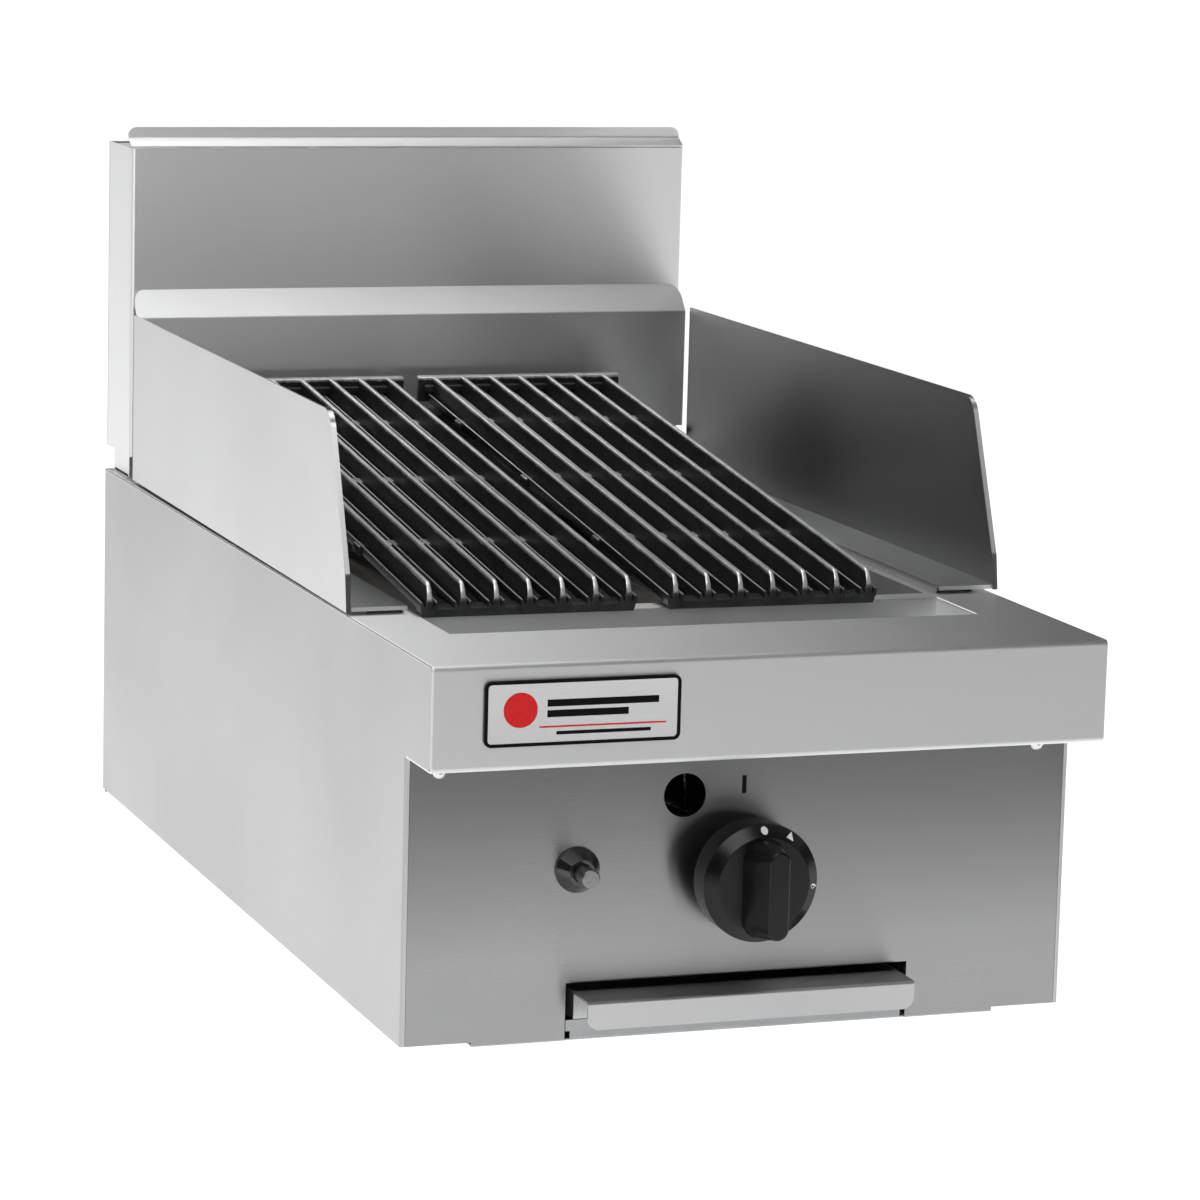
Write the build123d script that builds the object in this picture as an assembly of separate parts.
from build123d import *
import math
import os

# Gas charbroiler grill, a 400 mm wide countertop module with one burner control.
# Millimetres. The origin is the centre of the cabinet's footprint, on the surface it stands on.
# +X is the cook's right, +Y goes to the flue at the back, +Z is up.

# Cabinet
WIDTH = 400.0
BODY_DEPTH = 690.0
HOB_Z = 225.4
SHEET = 1.2
SIDE_BOTTOM = 2.8
HALF = WIDTH / 2
INSIDE = HALF - SHEET
SHEET_TOP = HOB_Z - SHEET

# Bullnose: the box-shaped front edge of the hob
NOSE_OUT = 46.0
NOSE_BOTTOM = 166.5
NOSE_BEND = 3.0

# Grease trough and chamber opening in the hob
TROUGH_HALF = 160.0
TROUGH_FRONT = 47.0
TROUGH_BACK = 104.0
TROUGH_DEEP = 28.0
CHAMBER_HALF = 158.0
CHAMBER_FRONT = 119.0
CHAMBER_BACK = 600.0
CHAMBER_HEM_Z = 212.0
FLUE_SLOT = (652.0, 680.0)

# Fascia and its openings
FASCIA_HALF = 197.0
FASCIA_TOP = 205.0
TRAY_MOUTH_HALF = 103.5
TRAY_MOUTH_TOP = 33.0
BASE_HALF = 158.0
SIGHT = (-35.5, 137.5)
SIGHT_R = 12.6
KNOB = (0.0, 92.0)
IGNITER = (-98.5, 98.2)
NECK_HOLE_R = 7.0
IGNITER_HOLE_R = 8.4
FASCIA_SCREW = (180.0, 157.8)
FASCIA_SCREW_R = 4.3

# Firebox and heat parts
FIREBOX_HALF = CHAMBER_HALF + 3.0
CHUTE_TOP = 80.0
CHUTE_BOTTOM = 36.0
CHUTE_HALF = 94.0
BURNER_X = 72.0
BURNER_Z = 108.0
BURNER_R = 19.0
BURNER_WALL = 1.5
RADIANT_X = 79.0
RADIANT_Z = 150.0

# Drip tray
TRAY_HALF = 98.5
TRAY_BOTTOM = 12.4
TRAY_TOP = 28.0
TRAY_LONG = 500.0
HANDLE_OUT = 24.0
HANDLE_BOTTOM = 11.9

# Grates: centre X, depth of the front end and yaw of each
BLADES = 7
PITCH = 20.0
BLADE_H = 18.7
GRATE_PLACES = {"left_grate": (-95.1, 101.2, -0.62), "right_grate": (53.7, 99.2, -1.07)}
GRATE_FOOT_Z = 225.42
GRATE_TILT = 6.13
GRATE_LONG = 502.0
TIES_ALONG = (131.0, 276.0, 421.0)
REST_FRONT = 566.0

# Side guards, splash panel and flue
GUARD_TOP = 338.0
GUARD_FRONT = 109.7
GUARD_BACK = 622.0
GUARD_BOTTOM = 227.6
GUARD_SPLAY = 0.448
GUARD_HEM = 3.0
GUARD_FLANGE = 35.0
GUARD_FLANGE_Z = 230.2
SPLASH_Y = 625.0
SPLASH_HALF = 194.8
SPLASH_FOLD_Z = 335.3
SHELF_TOP = 352.8
FLUE_HALF = 195.6
FLUE_FRONT = 640.6
FLUE_BACK = 703.0
FLUE_BOTTOM = 240.0
FLUE_TOP = 447.0
LIP_TOP = 460.5
PLINTH_HALF = 194.2
PLINTH_DEPTH = (646.6, 688.5)
DUCT_DEPTH = (648.6, 683.0)

# Gas inlet, R 1/2 thread
INLET = (168.0, 60.0)
INLET_R = 10.48
PIPE_R = 8.0

os.makedirs("parts", exist_ok=True)


# ---------------------------------------------------------------- helpers

def back(depth):
    """Y of a point that lies depth behind the fascia's front face."""
    return depth - BODY_DEPTH / 2


def block(x, depth, z):
    """Box between a low and a high limit in X, depth and Z."""
    centre = Pos((x[0] + x[1]) / 2, back((depth[0] + depth[1]) / 2), (z[0] + z[1]) / 2)
    return centre * Box(x[1] - x[0], depth[1] - depth[0], z[1] - z[0])


def across(x, depth, z):
    """Box that is symmetric in X: x is its half width."""
    return block((-x, x), depth, z)


def rod(start, direction, radius, length):
    """Round bar from start, a point given as X, depth, Z."""
    plane = Plane(origin=(start[0], back(start[1]), start[2]), z_dir=direction)
    return plane * Cylinder(radius, length, align=(Align.CENTER, Align.CENTER, Align.MIN))


def side_plane(x):
    """Plane facing +X whose local axes are depth and Z."""
    return Plane(origin=(x, back(0), 0), x_dir=(0, 1, 0), z_dir=(1, 0, 0))


def front_plane(depth):
    """Plane facing -Y whose local axes are X and Z."""
    return Plane(origin=(0, back(depth), 0), x_dir=(1, 0, 0), z_dir=(0, -1, 0))


def flat_plane(z):
    """Plane facing +Z whose local axes are X and depth."""
    return Plane(origin=(0, back(0), z))


def rounded_face(points, corners=()):
    """Closed outline as a face; corners lists (point index, radius)."""
    face = make_face(Polyline(*points, close=True))
    for index, radius in corners:
        x, y = points[index]
        vertex = min(face.vertices(), key=lambda v: math.hypot(v.X - x, v.Y - y))
        face = fillet(vertex, radius)
    return face


def side_plate(face, x_low, thickness):
    return extrude(side_plane(x_low) * face, thickness)


def front_plate(face, depth, thickness):
    return extrude(front_plane(depth) * face, -thickness)


def flat_plate(face, z_low, thickness):
    return extrude(flat_plane(z_low) * face, thickness)


def folded(points, bend, inner_side):
    """Bent sheet's section: points run along its outer face."""
    line = FilletPolyline(*points, radius=bend)
    return make_face(offset(line, amount=SHEET, side=inner_side))


def turned(points, x, z, corners=()):
    """Solid of revolution about a line along Y; points are (radius, depth)."""
    face = flat_plane(z) * Pos(x, 0, 0) * rounded_face(points, corners)
    return revolve(face, Axis((x, 0, z), (0, 1, 0)))


def ring(x, z, inner, outer, depth):
    """Washer-like ring about a line along Y."""
    return turned([(inner, depth[0]), (outer, depth[0]), (outer, depth[1]), (inner, depth[1])], x, z)


def hexagon(x, z, across_flats, depth):
    """Hexagonal bar along Y."""
    radius = across_flats / math.sqrt(3)
    face = Pos(x, z) * RegularPolygon(radius, 6)
    return front_plate(face, depth[0], depth[1] - depth[0])


def tube_run(points, bend, radius):
    """Round rod bent along points given as X, depth, Z."""
    path = FilletPolyline(*[(x, back(d), z) for x, d, z in points], radius=bend)
    section = Plane(origin=path @ 0, z_dir=path % 0) * Circle(radius)
    return sweep(section, path=path)


def slots(count, pitch, width, height, rows, row_pitch):
    """Rows of round-ended slots as faces, centred on the local origin."""
    faces = []
    for row in range(rows):
        for column in range(count):
            x = (column - (count - 1) / 2) * pitch
            y = (row - (rows - 1) / 2) * row_pitch
            faces.append(Pos(x, y) * SlotOverall(width, height))
    return faces


def mirrored(solid):
    return mirror(solid, about=Plane.YZ)


def write(node, *solids):
    shape = solids[0] if len(solids) == 1 else Compound(children=[Part(s.wrapped) for s in solids])
    export_step(shape, "parts/" + node + ".step")


# ---------------------------------------------------------------- cabinet

def side_panel():
    """Right side panel: outer skin with its bullnose cheek, front joggle and returns."""
    notch = NOSE_OUT - SHEET
    outline = [(0, SIDE_BOTTOM), (BODY_DEPTH, SIDE_BOTTOM), (BODY_DEPTH, SHEET_TOP), (-notch + 2, SHEET_TOP),
               (-notch, SHEET_TOP - 2), (-notch, NOSE_BOTTOM + SHEET + 2), (-notch + 2, NOSE_BOTTOM + SHEET),
               (0, NOSE_BOTTOM + SHEET)]
    panel = side_plate(rounded_face(outline), INSIDE, SHEET)
    tab_z = (SIDE_BOTTOM + SHEET, NOSE_BOTTOM - 2)
    panel += block((FASCIA_HALF + 0.2, HALF), (0, SHEET), (SIDE_BOTTOM, NOSE_BOTTOM - 0.4))
    panel += block((FASCIA_HALF + 0.2, FASCIA_HALF + 0.2 + SHEET), (0, 3.0), tab_z)
    panel += block((178, FASCIA_HALF + 0.2 + SHEET), (1.6, 1.6 + SHEET), tab_z)
    panel += block((162, INSIDE), (6, BODY_DEPTH - 6), (SIDE_BOTTOM, SIDE_BOTTOM + SHEET))
    rear_flange = (BODY_DEPTH - 2 * SHEET - 0.2, BODY_DEPTH - SHEET - 0.2)
    panel += block((182, INSIDE), rear_flange, (8, SHEET_TOP - 4))
    corner = panel.edges().filter_by(Axis.Z).filter_by_position(Axis.X, HALF - 0.01, HALF + 0.01)
    corner = corner.filter_by_position(Axis.Y, back(0) - 0.01, back(0) + 0.01)
    return fillet(corner, 1.5)


def base_pan():
    """Sunk floor with side ledges, front lip, foot holes and air slots."""
    ledge = SIDE_BOTTOM + 2 * SHEET
    line = [(-192, ledge), (-BASE_HALF + 1, ledge), (-BASE_HALF + 1, SHEET), (BASE_HALF - 1, SHEET),
            (BASE_HALF - 1, ledge), (192, ledge)]
    pan = front_plate(folded(line, 1.0, Side.RIGHT), 16, BODY_DEPTH - 16 - 2 * SHEET)
    lip_half = TRAY_MOUTH_HALF - 0.5
    lip = side_plate(folded([(17, 0), (0, 0), (0, 12)], 2.0, Side.RIGHT), -lip_half, 2 * lip_half)
    for side in (-1, 1):
        x = sorted((side * (lip_half - 2.6), side * (lip_half + 1)))
        lip -= block(x, (-1, SHEET + 1), (1.2, 5.6))
    pan += lip
    for x in (-130, 130):
        for depth in (60, 620):
            pan -= rod((x, depth, -1), (0, 0, 1), 5.25, 4)
    air = Sketch() + [Pos(0, 575) * slot for slot in slots(5, 40, 30, 8, 3, 18)]
    return pan - extrude(flat_plane(-1) * air, 4)


def rear_panel():
    """Back of the cabinet with louvre slots and the gas inlet hole."""
    panel = across(INSIDE - 0.1, (BODY_DEPTH - SHEET, BODY_DEPTH), (0, SHEET_TOP - 0.1))
    face = Sketch() + [Pos(-30, 150) * f for f in slots(4, 60, 44, 6, 4, 18)]
    panel -= front_plate(face, BODY_DEPTH - 3, 6)
    return panel - rod((INLET[0], BODY_DEPTH - 5, INLET[1]), (0, 1, 0), INLET_R + 0.5, 10)


def front_fascia():
    """Control panel with tray mouth, sight hole, spindle hole and igniter hole."""
    points = [(-FASCIA_HALF, SIDE_BOTTOM), (-BASE_HALF, SIDE_BOTTOM), (-BASE_HALF, 0), (-TRAY_MOUTH_HALF, 0),
              (-TRAY_MOUTH_HALF, TRAY_MOUTH_TOP), (TRAY_MOUTH_HALF, TRAY_MOUTH_TOP), (TRAY_MOUTH_HALF, 0),
              (BASE_HALF, 0), (BASE_HALF, SIDE_BOTTOM), (FASCIA_HALF, SIDE_BOTTOM), (FASCIA_HALF, FASCIA_TOP),
              (-FASCIA_HALF, FASCIA_TOP)]
    panel = front_plate(rounded_face(points), 0, SHEET)
    for side in (-1, 1):
        x = sorted((side * TRAY_MOUTH_HALF, side * BASE_HALF))
        panel += block(x, (0, 14), (0, SHEET))
    hem = across(TRAY_MOUTH_HALF, (0, 9), (TRAY_MOUTH_TOP, TRAY_MOUTH_TOP + SHEET))
    panel += hem
    for side in (-1, 1):
        jamb = sorted((side * TRAY_MOUTH_HALF, side * (TRAY_MOUTH_HALF + SHEET)))
        panel += block(jamb, (0, 10), (0, TRAY_MOUTH_TOP + SHEET))
    bends = panel.edges().filter_by(Axis.X).filter_by_position(Axis.Y, back(0) - 0.01, back(0) + 0.01)
    bottom = bends.filter_by_position(Axis.Z, -0.01, 0.01)
    top = bends.filter_by_position(Axis.Z, TRAY_MOUTH_TOP - 0.01, TRAY_MOUTH_TOP + 0.01)
    panel = fillet(bottom + top, 1.1)
    panel -= rod((SIGHT[0], -2, SIGHT[1]), (0, 1, 0), SIGHT_R, 6)
    panel -= rod((KNOB[0], -2, KNOB[1]), (0, 1, 0), NECK_HOLE_R, 6)
    return panel - rod((IGNITER[0], -2, IGNITER[1]), (0, 1, 0), IGNITER_HOLE_R, 6)


def hob_top():
    """Top sheet folded into the bullnose, with its trough, chamber and flue openings."""
    top_back = BODY_DEPTH
    line = [(top_back, HOB_Z), (-NOSE_OUT, HOB_Z), (-NOSE_OUT, NOSE_BOTTOM), (-1.0, NOSE_BOTTOM)]
    hob = side_plate(folded(line, NOSE_BEND, Side.LEFT), -HALF, WIDTH)
    over = (SHEET_TOP - 5, HOB_Z + 5)
    hob -= across(TROUGH_HALF, (TROUGH_FRONT, TROUGH_BACK), over)
    hob -= across(CHAMBER_HALF, (CHAMBER_FRONT, CHAMBER_BACK), over)
    hob -= across(150, FLUE_SLOT, over)
    rims = hob.edges().filter_by_position(Axis.Z, HOB_Z - 0.01, HOB_Z + 0.01)
    rims = rims.filter_by_position(Axis.Y, back(TROUGH_FRONT) - 0.01, back(CHAMBER_FRONT) + 0.01)
    rims = rims.filter_by_position(Axis.X, -TROUGH_HALF - 0.01, TROUGH_HALF + 0.01)
    hob = fillet(rims, 1.0)
    for side in (-1, 1):
        hem = sorted((side * CHAMBER_HALF, side * (CHAMBER_HALF + SHEET)))
        hob += block(hem, (CHAMBER_FRONT + 3, CHAMBER_BACK - 3), (CHAMBER_HEM_Z, HOB_Z - 1.0))
    for depth in (CHAMBER_FRONT - SHEET, CHAMBER_BACK):
        hob += across(CHAMBER_HALF - 2, (depth, depth + SHEET), (CHAMBER_HEM_Z, HOB_Z - 1.0))
    nose = back(-NOSE_OUT)
    ends = hob.edges().filter_by(Axis.Z).filter_by_position(Axis.Y, nose - 0.01, nose + 0.01)
    return fillet(ends, 0.9)


def grease_trough():
    """Open grease trough hanging under the hob behind the bullnose."""
    outer = across(TROUGH_HALF + SHEET, (TROUGH_FRONT - SHEET, TROUGH_BACK + SHEET),
                   (SHEET_TOP - TROUGH_DEEP - SHEET, SHEET_TOP))
    inner = across(TROUGH_HALF, (TROUGH_FRONT, TROUGH_BACK), (SHEET_TOP - TROUGH_DEEP, SHEET_TOP + 1))
    drain = rod((25, 82, SHEET_TOP - TROUGH_DEEP - 3), (0, 0, 1), 9.0, 6)
    return outer - inner - drain


def trough_drain():
    """Flanged tube that leads the trough's grease down to the drip tray."""
    floor = SHEET_TOP - TROUGH_DEEP - SHEET
    tube = rod((25, 82, 30), (0, 0, 1), 8.8, floor - 30)
    tube += rod((25, 82, floor - 1.5), (0, 0, 1), 14.0, 1.5)
    return tube - rod((25, 82, 20), (0, 0, 1), 7.6, 200)


def fascia_screws():
    """Two button-head screws with sockets, high on the fascia behind the bullnose's lower edge."""
    screws = []
    for x in (-FASCIA_SCREW[0], FASCIA_SCREW[0]):
        head = Pos(x, back(2.6), FASCIA_SCREW[1]) * Sphere(5.3)
        head &= rod((x, -3, FASCIA_SCREW[1]), (0, 1, 0), FASCIA_SCREW_R, 3)
        screws.append(head - rod((x, -4, FASCIA_SCREW[1]), (0, 1, 0), 1.4, 2.8))
    return screws


# ---------------------------------------------------------------- firebox and burners

def firebox_side_wall():
    """Right wall of the chamber, bent in at the bottom to send grease to the tray."""
    line = [(FIREBOX_HALF, SHEET_TOP - 0.2), (FIREBOX_HALF, CHUTE_TOP), (CHUTE_HALF, CHUTE_BOTTOM)]
    return front_plate(folded(line, 4.0, Side.LEFT), CHAMBER_FRONT + 3, CHAMBER_BACK - CHAMBER_FRONT - 6)


def chamber_end(top):
    """Outline of the chamber's front or back wall."""
    half = FIREBOX_HALF - 2 * SHEET
    return [(-half, top), (-half, CHUTE_TOP + 2),
            (-CHUTE_HALF + 4, CHUTE_BOTTOM), (CHUTE_HALF - 4, CHUTE_BOTTOM),
            (half, CHUTE_TOP + 2), (half, top)]


def firebox_front_wall():
    wall = front_plate(rounded_face(chamber_end(SHEET_TOP - 0.2)), CHAMBER_FRONT + 1, SHEET)
    for x in (-BURNER_X, BURNER_X):
        wall -= rod((x, CHAMBER_FRONT - 2, BURNER_Z), (0, 1, 0), BURNER_R + 0.8, 8)
    return wall - rod((SIGHT[0], CHAMBER_FRONT - 2, SIGHT[1] - 6), (0, 1, 0), 18.0, 8)


def firebox_rear_wall():
    wall = front_plate(rounded_face(chamber_end(SHEET_TOP - 0.2)), CHAMBER_BACK - SHEET - 1, SHEET)
    return wall - across(130, (CHAMBER_BACK - 6, CHAMBER_BACK + 3), (178, 200))


def burner(x):
    """Tubular burner with a bell mouth and a closed far end."""
    mouth = 66.0
    bore = BURNER_R - BURNER_WALL
    shape = [(bore, mouth + 26), (23.5 - BURNER_WALL, mouth), (23.5, mouth), (BURNER_R, mouth + 27),
             (BURNER_R, 585.0), (0, 585.0), (0, 583.0), (bore, 583.0)]
    tube = turned(shape, x, BURNER_Z)
    for row in (-0.6, 0.6):
        for number in range(24):
            depth = 150.0 + number * 18.0
            direction = (math.sin(row), 0, math.cos(row))
            tube -= rod((x, depth, BURNER_Z), direction, 1.6, BURNER_R + 2)
    return tube


def burner_saddles():
    """Two cross bars that carry the burners inside the chamber."""
    bars = []
    for depth in (126.0, 574.0):
        bar = across(FIREBOX_HALF - 6, (depth, depth + 12), (84, 87))
        bars.append(bar)
        for x in (-BURNER_X, BURNER_X):
            saddle = block((x - 14, x + 14), (depth, depth + 12), (87, 95))
            saddle -= rod((x, depth - 1, BURNER_Z), (0, 1, 0), BURNER_R + 0.3, 14)
            bars[-1] += saddle
    return bars


def radiant(x):
    """Inverted V heat spreader over one burner, slotted on both slopes."""
    line = [(-70, RADIANT_Z), (-70, RADIANT_Z + 6), (0, RADIANT_Z + 36), (70, RADIANT_Z + 6), (70, RADIANT_Z)]
    face = Pos(x, 0) * folded(line, 2.0, Side.RIGHT)
    sheet = front_plate(face, 128, 462)
    for side in (-1, 1):
        for number in range(9):
            depth = 160 + number * 49
            window = sorted((x + side * 18, x + side * 52))
            sheet -= block(window, (depth, depth + 8), (RADIANT_Z, RADIANT_Z + 40))
    return sheet


def radiant_rails():
    """Front and rear angle rails that the radiants stand on."""
    rails = []
    for depth, wall in ((CHAMBER_FRONT + 2.4, 0), (CHAMBER_BACK - 2.4 - 14, 14 - SHEET)):
        rail = across(FIREBOX_HALF - 4, (depth, depth + 14), (RADIANT_Z - SHEET - 0.1, RADIANT_Z - 0.1))
        web = (depth + wall, depth + wall + SHEET)
        rail += across(FIREBOX_HALF - 4, web, (RADIANT_Z - 14, RADIANT_Z - 0.1))
        for x in (SIGHT[0],):
            rail -= block((x - 16, x + 16), (depth - 1, depth + 3), (RADIANT_Z - 15, RADIANT_Z - 2))
        rails.append(rail)
    return rails


def grate_rear_rest():
    """Raised angle that holds up the back of both grates."""
    front = max(place[1] for place in GRATE_PLACES.values())
    top = GRATE_FOOT_Z + (REST_FRONT - front) * math.tan(math.radians(GRATE_TILT)) - 0.1
    line = [(REST_FRONT, top), (CHAMBER_BACK - 2.4, top), (CHAMBER_BACK - 2.4, 206)]
    return side_plate(folded(line, 2.0, Side.RIGHT), -150, 300)


# ---------------------------------------------------------------- gas and ignition

def valve_body():
    """Brass tap: block, threaded neck through the fascia, blind spindle bore."""
    x, z = KNOB
    body = block((x - 16, x + 16), (8, 40), (z - 16, z + 14))
    body += rod((x, -2.5, z), (0, 1, 0), 6.5, 11)
    body += rod((x, 39, z + 2), (0, 1, 0), 7.0, 5)
    body += rod((x + 15, 26, 84), (1, 0, 0), 10.5, 7)
    return body - rod((x, -4, z), (0, 1, 0), 3.06, 24)


def manifold_pipe():
    """Tee pipe from the tap to both injectors."""
    x, z = KNOB
    pipe = rod((-82, 50, BURNER_Z), (1, 0, 0), PIPE_R, 164)
    pipe += rod((x, 50, z + 2), (0, 0, 1), 6.0, BURNER_Z - z - 2)
    return pipe + rod((x, 44, z + 2), (0, 1, 0), 6.0, 6)


def injectors():
    """Brass jets screwed into the manifold in front of each burner."""
    jets = []
    for x in (-BURNER_X, BURNER_X):
        jet = hexagon(x, BURNER_Z, 12, (PIPE_R + 50.3, PIPE_R + 55))
        jet += turned([(0, 62), (4.5, 62), (1.6, 65.2), (0, 65.2)], x, BURNER_Z)
        jets.append(jet)
    return jets


def supply_pipe():
    """Pipe along the right side from the rear inlet to the tap."""
    x, z = INLET
    route = [(x, BODY_DEPTH - 4, z), (x, 62, z), (152, 26, 84), (KNOB[0] + 22, 26, 84)]
    return tube_run(route, 22, PIPE_R)


def gas_inlet():
    """Male R 1/2 nipple with its hexagon outside the rear panel."""
    x, z = INLET
    nipple = rod((x, BODY_DEPTH - 4, z), (0, 1, 0), INLET_R - 0.6, 6)
    nipple += hexagon(x, z, 26, (BODY_DEPTH + 0.1, BODY_DEPTH + 6))
    nipple += rod((x, BODY_DEPTH + 5, z), (0, 1, 0), INLET_R, 19)
    return nipple - rod((x, BODY_DEPTH - 2, z), (0, 1, 0), 7.0, 40)


def pilot_parts():
    """Pilot head, its bracket, its tube, the flame sensor and the spark electrode."""
    x, z = SIGHT[0], 124.0
    front = CHAMBER_FRONT + 1 + SHEET
    head = rod((x, front + 4, z), (0, 1, 0), 5.0, 14) + rod((x, front + 14, z), (0, 0, 1), 5.0, 12)
    bracket = block((x - 17, x + 17), (front + 0.1, front + 12), (z - 9, z - 7.5))
    bracket += block((x - 17, x + 17), (front + 0.1, front + 1.6), (z - 16, z - 7.5))
    for clip in (-11, 0, 11):
        bracket += block((x + clip - 2, x + clip + 2), (front + 4, front + 10), (z - 8, z - 5.2))
    tube = tube_run([(2, 40.1, 80), (2, 76, 80), (2, 80, 108), (x, 92, z), (x, front + 3.9, z)], 7, 2.0)
    sensor = rod((x - 11, front + 2, z), (0, 1, 0), 2.8, 14) + rod((x - 11, front + 15, z), (0, 1, 0), 1.8, 8)
    lead = tube_run([(-11, 40.1, 96), (-11, 61, 96), (-11, 66, 142), (x - 11, 78, 142),
                     (x - 11, 100, z), (x - 11, front + 1.9, z)], 7, 1.2)
    electrode = rod((x + 11, front - 14, z), (0, 1, 0), 3.0, 30)
    electrode += rod((x + 11, front + 15, z), (0, 1, 0), 1.0, 6)
    electrode += rod((x + 11, front + 20, z), (-0.5, 0, 0.85), 1.0, 9)
    return {"pilot_burner": head, "pilot_bracket": bracket, "pilot_tube": tube,
            "flame_sensor": sensor, "flame_sensor_lead": lead, "spark_electrode": electrode}


def igniter_lead():
    """High-voltage lead, clipped between the igniter and the electrode."""
    x, z = IGNITER
    end_x = SIGHT[0] + 11
    front = CHAMBER_FRONT + 1 + SHEET - 14
    return tube_run([(x, 50.2, z), (x, 70, z), (x + 4, 76, 150), (end_x - 4, 80, 152), (end_x, 92, 124),
                     (end_x, front - 0.1, 124)], 8, 1.8)


def igniter_body():
    x, z = IGNITER
    body = rod((x, 0, z), (0, 1, 0), 8.0, 13) + rod((x, 12, z), (0, 1, 0), 10.5, 36)
    body += rod((x, 47, z), (0, 1, 0), 4.0, 3)
    return body - rod((x, -1, z), (0, 1, 0), 5.6, 17)


def igniter_bezel():
    """Conical collar of the igniter on the fascia."""
    x, z = IGNITER
    shape = [(5.6, 0), (13, 0), (13, -1.6), (7.6, -9.5), (5.6, -9.5)]
    return turned(shape, x, z, ((2, 0.6), (3, 0.5)))


def igniter_button():
    x, z = IGNITER
    return turned([(0, 5), (5.2, 5), (5.2, -24), (0, -24)], x, z, ((2, 0.8),))


# ---------------------------------------------------------------- control knob

KNOB_REAR = -12.5
KNOB_RIM = -29.5
KNOB_FACE = -35.0
KNOB_R = 34.0
FACE_R = 27.1
GRIP_FRONT = -58.5
SKIRT_WALL = 2.8


def knob():
    """Hollow round knob with a sloping rim and a tapering finger grip."""
    x, z = KNOB
    shape = [(KNOB_R - 0.4, KNOB_REAR), (KNOB_R, KNOB_RIM), (FACE_R, KNOB_FACE), (0, KNOB_FACE),
             (0, KNOB_FACE + 4), (FACE_R - 3, KNOB_FACE + 4), (KNOB_R - SKIRT_WALL, KNOB_RIM + 3),
             (KNOB_R - SKIRT_WALL - 0.4, KNOB_REAR)]
    body = turned(shape, x, z, ((1, 1.2), (2, 0.8)))
    body += rod((x, KNOB_FACE + 3, z), (0, 1, 0), 8.0, -7.6 - KNOB_FACE - 3)
    root = front_plane(KNOB_FACE + 1) * Pos(x, z - 2.3) * SlotOverall(57.4, 27, rotation=90)
    crest = front_plane(GRIP_FRONT) * Pos(x, z - 1.3) * SlotOverall(50.4, 11.6, rotation=90)
    grip = loft([root.face(), crest.face()])
    rim = grip.edges().filter_by_position(Axis.Y, back(GRIP_FRONT) - 0.01, back(GRIP_FRONT) + 0.01)
    body += fillet(rim, 1.6)
    return body - rod((x, -31, z), (0, 1, 0), 3.1, 40)


def valve_spindle():
    """Tap spindle, flattened where the knob grips it."""
    x, z = KNOB
    spindle = rod((x, -30.9, z), (0, 1, 0), 3.0, 44.9)
    return spindle - block((x + 2.2, x + 4), (-33, -10), (z - 4, z + 4))


def flame(size):
    """Flame sign: a drop with a pointed top."""
    outline = [(0, 1.2), (0.5, 0.35), (0.65, -0.2), (0.4, -0.75), (0, -0.95), (-0.4, -0.75), (-0.65, -0.2),
               (-0.4, 0.4)]
    return make_face(Polyline(*[(a * size, b * size) for a, b in outline], close=True))


def knob_markings():
    """Printed signs on the rim: off dot, pilot triangle, high flame and low flame."""
    x, z = KNOB
    skin = [(KNOB_R, KNOB_RIM), (FACE_R, KNOB_FACE)]
    proud = 0.18
    shell = turned([skin[0], (skin[0][0] + proud, KNOB_RIM - proud), (skin[1][0] + proud, KNOB_FACE - proud),
                    skin[1]], x, z)
    middle = (KNOB_R + FACE_R) / 2
    big = flame(2.3) - Pos(0.3, -0.4) * flame(1.3)
    signs = [(0, Circle(2.0)), (-31, RegularPolygon(2.8, 3, rotation=90)), (-95, big), (-153, flame(1.8))]
    marks = []
    for turn, sign in signs:
        flat = Pos(x, z) * Rot(0, 0, turn) * Pos(0, middle) * sign
        prism = extrude(front_plane(-45) * flat, -30)
        marks.extend((prism & shell).solids())
    return marks


# ---------------------------------------------------------------- drip tray

def drip_tray():
    """Shallow pan with its front folded out and down into a pull."""
    pan = across(TRAY_HALF, (0, TRAY_LONG), (TRAY_BOTTOM, TRAY_TOP))
    pan -= across(TRAY_HALF - SHEET, (SHEET, TRAY_LONG - SHEET), (TRAY_BOTTOM + SHEET, TRAY_TOP + 1))
    line = [(SHEET, TRAY_TOP), (-HANDLE_OUT, TRAY_TOP), (-HANDLE_OUT, HANDLE_BOTTOM)]
    pull = side_plate(folded(line, 1.8, Side.LEFT), -TRAY_HALF, 2 * TRAY_HALF)
    lower = pull.edges().filter_by(Axis.Y)
    lower = lower.filter_by_position(Axis.Z, HANDLE_BOTTOM - 0.01, HANDLE_BOTTOM + 0.01)
    return pan + fillet(lower, 7.0)


def tray_runner():
    """Right runner: an angle whose ledge carries the tray."""
    web = block((TRAY_MOUTH_HALF + 0.3, TRAY_MOUTH_HALF + 0.3 + SHEET), (12, TRAY_LONG + 30), (SHEET, 38))
    ledge = (TRAY_BOTTOM - 0.2 - SHEET, TRAY_BOTTOM - 0.2)
    return web + block((90, TRAY_MOUTH_HALF + 0.4), (12, TRAY_LONG + 30), ledge)


# ---------------------------------------------------------------- grates

def blade_section():
    """Section of one grate blade: thin ridge standing in a narrow grease gutter."""
    right = [(2.4, 0), (4.9, 3.6), (5.2, 7.6), (4.1, 8.1), (2.3, 4.6), (1.9, 8.5), (1.35, BLADE_H - 1.1),
             (0.7, BLADE_H)]
    left = [(-a, b) for a, b in reversed(right)]
    return right + left


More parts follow.
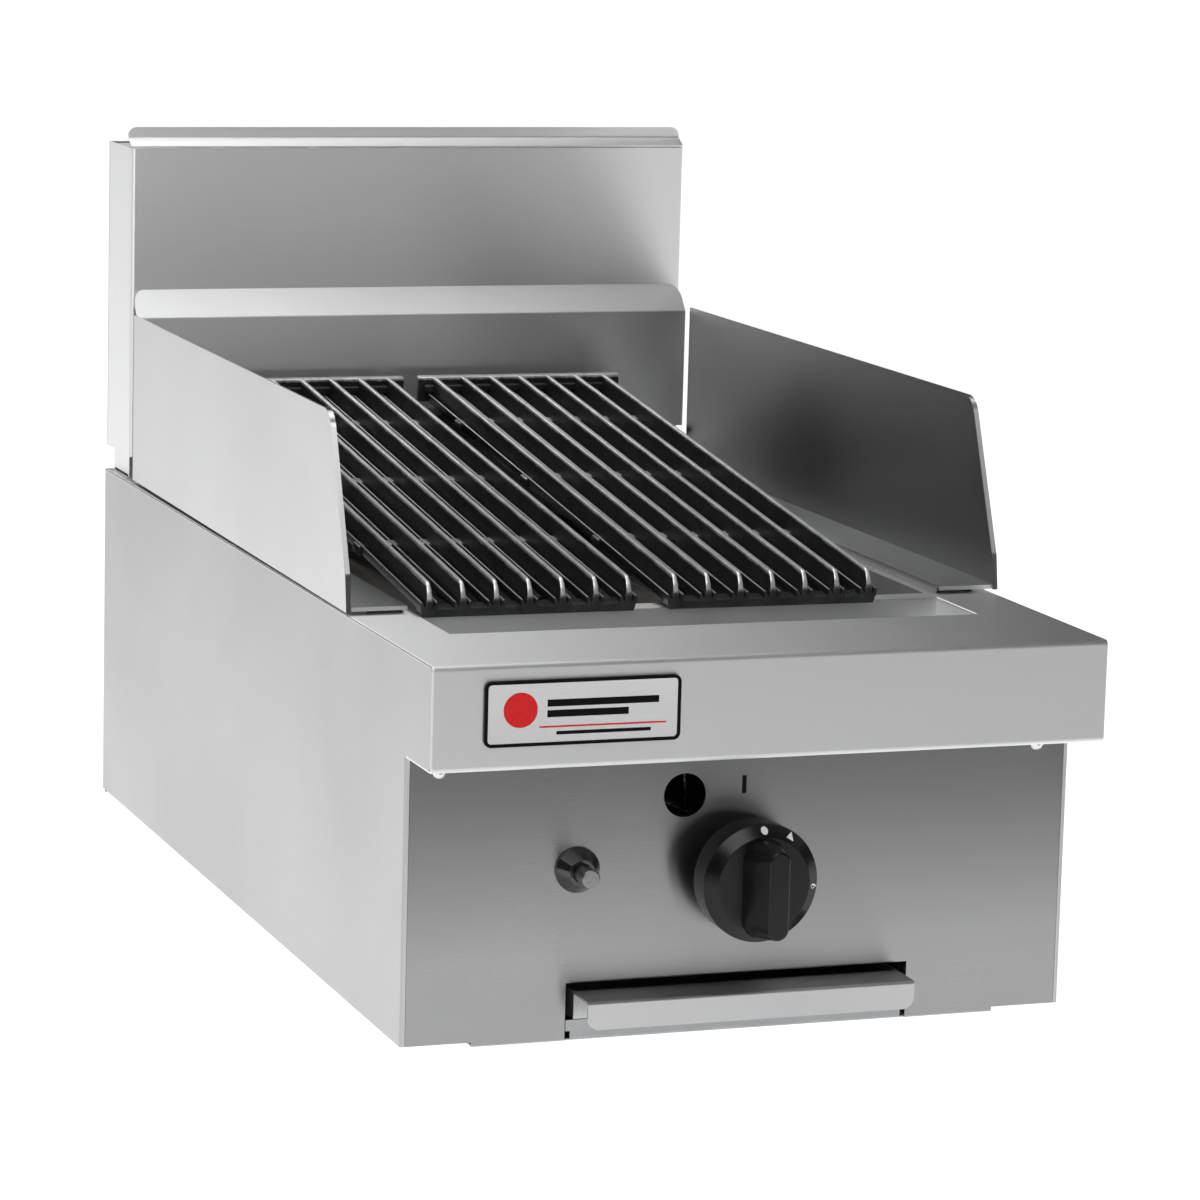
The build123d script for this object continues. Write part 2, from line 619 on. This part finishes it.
def blade_side():
    """Side view of a blade: steep rounded nose and long straight ridge."""
    return [(0.8, 0), (GRATE_LONG - 2, 0), (GRATE_LONG - 2, BLADE_H), (7.0, BLADE_H), (1.2, 10.5), (0.2, 6.0)]


def grate(centre, front, yaw):
    """Cast grate: blades, front rail with feet, cross ties and rear plate."""
    half = (BLADES - 1) / 2 * PITCH
    nose = side_plate_local(rounded_face(blade_side(), ((3, 5.0), (4, 6.0))), half + 10)
    casting = Part()
    for number in range(BLADES):
        x = number * PITCH - half
        section = Plane(origin=(x, 0, 0), x_dir=(1, 0, 0), z_dir=(0, -1, 0)) * rounded_face(blade_section())
        casting += extrude(section, -GRATE_LONG)
    casting &= nose
    casting += local_box((-half - 4.4, half + 4.4), (0.6, 12.0), (0.2, 4.0))
    casting += local_box((-half - 3.6, half + 3.6), (0.6, 1.7), (-1.1, 0.6))
    for x in (-half + 20, half - 20):
        casting += local_box((x - 6, x + 6), (9, 14), (-0.85, 1))
    for along in TIES_ALONG:
        casting += local_box((-half - 2, half + 2), (along - 5, along + 5), (0.4, 7.4))
        for side in (-1, 1):
            lug = sorted((side * (half + 1), side * (half + 7)))
            casting += local_box(lug, (along - 6, along + 6), (1.0, 7.0))
    casting += local_box((-half - 11, half + 11), (GRATE_LONG - 6, GRATE_LONG), (1.5, BLADE_H))
    casting += local_box((-half - 8, half + 8), (GRATE_LONG - 10, GRATE_LONG - 5), (8.5, BLADE_H - 5))
    place = Pos(centre, back(front), GRATE_FOOT_Z) * Rot(0, 0, yaw) * Rot(GRATE_TILT, 0, 0)
    return place * casting


def local_box(x, along, up):
    """Box in a grate's own axes: across, along the blades, up."""
    centre = Pos((x[0] + x[1]) / 2, (along[0] + along[1]) / 2, (up[0] + up[1]) / 2)
    return centre * Box(x[1] - x[0], along[1] - along[0], up[1] - up[0])


def side_plate_local(face, half):
    plane = Plane(origin=(-half, 0, 0), x_dir=(0, 1, 0), z_dir=(1, 0, 0))
    return extrude(plane * face, 2 * half)


# ---------------------------------------------------------------- guards, splash and flue

def side_guard():
    """Right side guard: tall sheet with a hemmed sloping front and a base flange, toed out to the front."""
    outline = [(GUARD_FRONT, GUARD_BOTTOM), (GUARD_FRONT + 3.2, 248), (GUARD_FRONT + 40.3, GUARD_TOP),
               (GUARD_BACK, GUARD_TOP), (GUARD_BACK, GUARD_BOTTOM)]
    corners = ((2, 15.0), (1, 12.0))
    wall = side_plate(rounded_face(outline, corners), INSIDE, SHEET)
    hem = side_plate(rounded_face(outline, corners), HALF - GUARD_HEM, GUARD_HEM)
    hem -= Pos(0, SHEET, 0) * side_plate(rounded_face(outline, corners), HALF - GUARD_HEM, GUARD_HEM)
    middle = back((GUARD_FRONT + GUARD_BACK) / 2)
    toe_out = Pos(HALF, middle, 0) * Rot(0, 0, GUARD_SPLAY) * Pos(-HALF, -middle, 0)
    edge = HALF - GUARD_FLANGE
    front = GUARD_FRONT + 2
    reach = (edge, HALF + 6)
    base = block(reach, (front, GUARD_BACK - 2), (GUARD_FLANGE_Z - SHEET, GUARD_FLANGE_Z))
    base += block(reach, (front, front + SHEET), (GUARD_BOTTOM + 0.2, GUARD_FLANGE_Z))
    within = block((edge - 9, INSIDE + 0.1), (front - 9, GUARD_BACK + 9), (HOB_Z, GUARD_FLANGE_Z + 1))
    base &= toe_out * within
    for x in (edge, 188.0):
        base += block((x, x + SHEET), (front + 6, GUARD_BACK - 2), (HOB_Z + 0.1, GUARD_FLANGE_Z - 0.5))
    return toe_out * (wall + hem) + base


def rear_splash_panel():
    """Panel behind the grates, folded back into a steep shelf."""
    line = [(SPLASH_Y, HOB_Z + 0.1), (SPLASH_Y, SPLASH_FOLD_Z), (FLUE_FRONT - 0.2, SHELF_TOP)]
    panel = side_plate(folded(line, 2.0, Side.RIGHT), -SPLASH_HALF, 2 * SPLASH_HALF)
    trim = rounded_face([(-210, 600), (210, 600), (210, 650), (-210, 650)])
    shelf = rounded_face([(-SPLASH_HALF, 600), (SPLASH_HALF, 600), (SPLASH_HALF, FLUE_FRONT - 0.2),
                          (-SPLASH_HALF, FLUE_FRONT - 0.2)], ((2, 8.0), (3, 8.0)))
    panel -= flat_plate(trim, SPLASH_FOLD_Z + 3, 20) - flat_plate(shelf, SPLASH_FOLD_Z + 2, 22)
    return panel - block((190, 200), (SPLASH_Y - 2, SPLASH_Y + 3), (249.5, 255.5))


def flue_shell():
    """Front and sides of the flue box, folded from one sheet."""
    line = [(-FLUE_HALF, FLUE_BACK - SHEET), (-FLUE_HALF, FLUE_FRONT), (FLUE_HALF, FLUE_FRONT),
            (FLUE_HALF, FLUE_BACK - SHEET)]
    return flat_plate(folded(line, 2.2, Side.LEFT), FLUE_BOTTOM, FLUE_TOP - FLUE_BOTTOM)


def flue_rear_panel():
    return across(FLUE_HALF, (FLUE_BACK - SHEET + 0.1, FLUE_BACK), (FLUE_BOTTOM, FLUE_TOP))


def flue_base_frame():
    """Plinth ring that stands the flue box on the hob; its sides are relieved underneath."""
    front, rear = PLINTH_DEPTH
    frame = across(PLINTH_HALF, PLINTH_DEPTH, (HOB_Z + 0.1, FLUE_BOTTOM + 8))
    frame -= across(PLINTH_HALF - SHEET, (front + SHEET, rear - SHEET), (HOB_Z - 1, FLUE_BOTTOM + 9))
    return frame - across(PLINTH_HALF + 1, (front + 3, rear - 3), (HOB_Z - 1, HOB_Z + 1.5))


def flue_duct():
    """Inner duct that carries the hot gas from the hob slot to the outlet."""
    front, rear = DUCT_DEPTH
    duct = across(155, DUCT_DEPTH, (HOB_Z + 0.1, FLUE_TOP - 3))
    return duct - across(155 - SHEET, (front + SHEET, rear - SHEET), (HOB_Z - 1, FLUE_TOP))


def flue_top_grille():
    """Slotted outlet plate in the top of the flue box."""
    depth = ((FLUE_FRONT + 4), (FLUE_BACK - 3))
    plate = across(FLUE_HALF - 2.5, depth, (FLUE_TOP - SHEET - 1, FLUE_TOP - 1))
    for column in range(10):
        x = (column - 4.5) * 33
        plate -= block((x - 12, x + 12), (652, 688), (FLUE_TOP - 5, FLUE_TOP + 1))
    bars = []
    for row in range(4):
        mid = 656.5 + row * 9
        bars.append(across(FLUE_HALF - 20, (mid - 1, mid + 1), (FLUE_TOP - SHEET - 1, FLUE_TOP - 1)))
    for bar in bars:
        plate += bar
    return plate


def flue_lip():
    """Bright upstand along the top front edge of the flue box."""
    line = [(FLUE_FRONT + 0.6, FLUE_TOP + 1.5), (FLUE_FRONT + 9.6, FLUE_TOP + 6.3),
            (FLUE_FRONT + 9.6, LIP_TOP)]
    lip = side_plate(folded(line, 1.8, Side.RIGHT), -FLUE_HALF, 2 * FLUE_HALF)
    tips = lip.edges().filter_by(Axis.Y).filter_by_position(Axis.Z, LIP_TOP - 0.01, LIP_TOP + 0.01)
    return fillet(tips, 6.0)


# ---------------------------------------------------------------- badge, mark and screws

BADGE_X = (-170.5, -57.7)
BADGE_Z = (180.0, 216.3)
BADGE_RIM = 1.8


def badge_outline(inset):
    width = BADGE_X[1] - BADGE_X[0] - 2 * inset
    height = BADGE_Z[1] - BADGE_Z[0] - 2 * inset
    centre = Pos(sum(BADGE_X) / 2, sum(BADGE_Z) / 2)
    return centre * RectangleRounded(width, height, 4.0 - inset)


def badge_frame():
    outer = front_plate(badge_outline(0), -NOSE_OUT - 1.6, 1.6)
    return outer - front_plate(badge_outline(BADGE_RIM), -NOSE_OUT - 2, 1.5)


def badge_plate():
    return front_plate(badge_outline(BADGE_RIM + 0.1), -NOSE_OUT - 1.2, 0.7)


def screw_heads(places, direction):
    """Pan heads seated on a flat face; places are X, depth, Z."""
    heads = []
    for place in places:
        head = rod(place, direction, 3.9, 2.2)
        top = max(head.edges().filter_by(GeomType.CIRCLE),
                  key=lambda e: e.center().dot(Vector(*direction)))
        head = fillet(top, 1.2)
        plane = Plane(origin=(place[0], back(place[1]), place[2]), z_dir=direction)
        for turn in (0, 90):
            slot = plane * Rot(0, 0, turn) * Pos(0, 0, 2.2) * Box(4.2, 0.9, 1.6)
            head -= slot
        heads.append(head)
    return heads


def rear_screws():
    places = [(x, BODY_DEPTH, z) for x in (-188, 188) for z in (24, 120, 205)]
    return screw_heads(places, (0, 1, 0))


def flue_screws():
    places = [(x, FLUE_BACK, z) for x in (-187, 187) for z in (256, 345, 432)]
    return screw_heads(places, (0, 1, 0))


# ---------------------------------------------------------------- write every node

write("right_side_panel", side_panel())
write("left_side_panel", mirrored(side_panel()))
write("base_pan", base_pan())
write("rear_panel", rear_panel())
write("front_fascia", front_fascia())
write("hob_top", hob_top())
write("grease_trough", grease_trough())
write("trough_drain", trough_drain())
write("fascia_screws", *fascia_screws())
write("firebox_right_wall", firebox_side_wall())
write("firebox_left_wall", mirrored(firebox_side_wall()))
write("firebox_front_wall", firebox_front_wall())
write("firebox_rear_wall", firebox_rear_wall())
write("left_burner", burner(-BURNER_X))
write("right_burner", burner(BURNER_X))
write("burner_saddles", *burner_saddles())
write("left_radiant", radiant(-RADIANT_X))
write("right_radiant", radiant(RADIANT_X))
write("radiant_rails", *radiant_rails())
write("grate_rear_rest", grate_rear_rest())
write("valve_body", valve_body())
write("valve_neck_nut", hexagon(*KNOB, 20, (-2.4, -0.1)) - rod((KNOB[0], -3, KNOB[1]), (0, 1, 0), 6.52, 5))
write("manifold_pipe", manifold_pipe())
write("injectors", *injectors())
write("supply_pipe", supply_pipe())
write("gas_inlet", gas_inlet())
for name, solid in pilot_parts().items():
    write(name, solid)
write("igniter_lead", igniter_lead())
write("igniter_body", igniter_body())
thread = rod((IGNITER[0], 0, IGNITER[1]), (0, 1, 0), 8.02, 9)
write("igniter_nut", hexagon(*IGNITER, 24, (SHEET + 0.1, 6)) - thread)
write("igniter_bezel", igniter_bezel())
write("igniter_button", igniter_button())
write("stem_collar", ring(*KNOB, 3.06, 7.5, (-7.5, -5.5)))
write("valve_spindle", valve_spindle())
write("knob", knob())
write("knob_markings", *knob_markings())
write("drip_tray", drip_tray())
write("right_tray_runner", tray_runner())
write("left_tray_runner", mirrored(tray_runner()))
for name, place in GRATE_PLACES.items():
    write(name, grate(*place))
write("right_guard", side_guard())
write("left_guard", mirrored(side_guard()))
write("rear_splash_panel", rear_splash_panel())
write("flue_shell", flue_shell())
write("flue_rear_panel", flue_rear_panel())
write("flue_base_frame", flue_base_frame())
write("flue_duct", flue_duct())
write("flue_top_grille", flue_top_grille())
write("flue_lip", flue_lip())
write("badge_frame", badge_frame())
write("badge_plate", badge_plate())
write("index_mark", block((-1.25, 1.25), (-0.15, 0), (137, 147.3)))
write("rear_screws", *rear_screws())
write("flue_screws", *flue_screws())
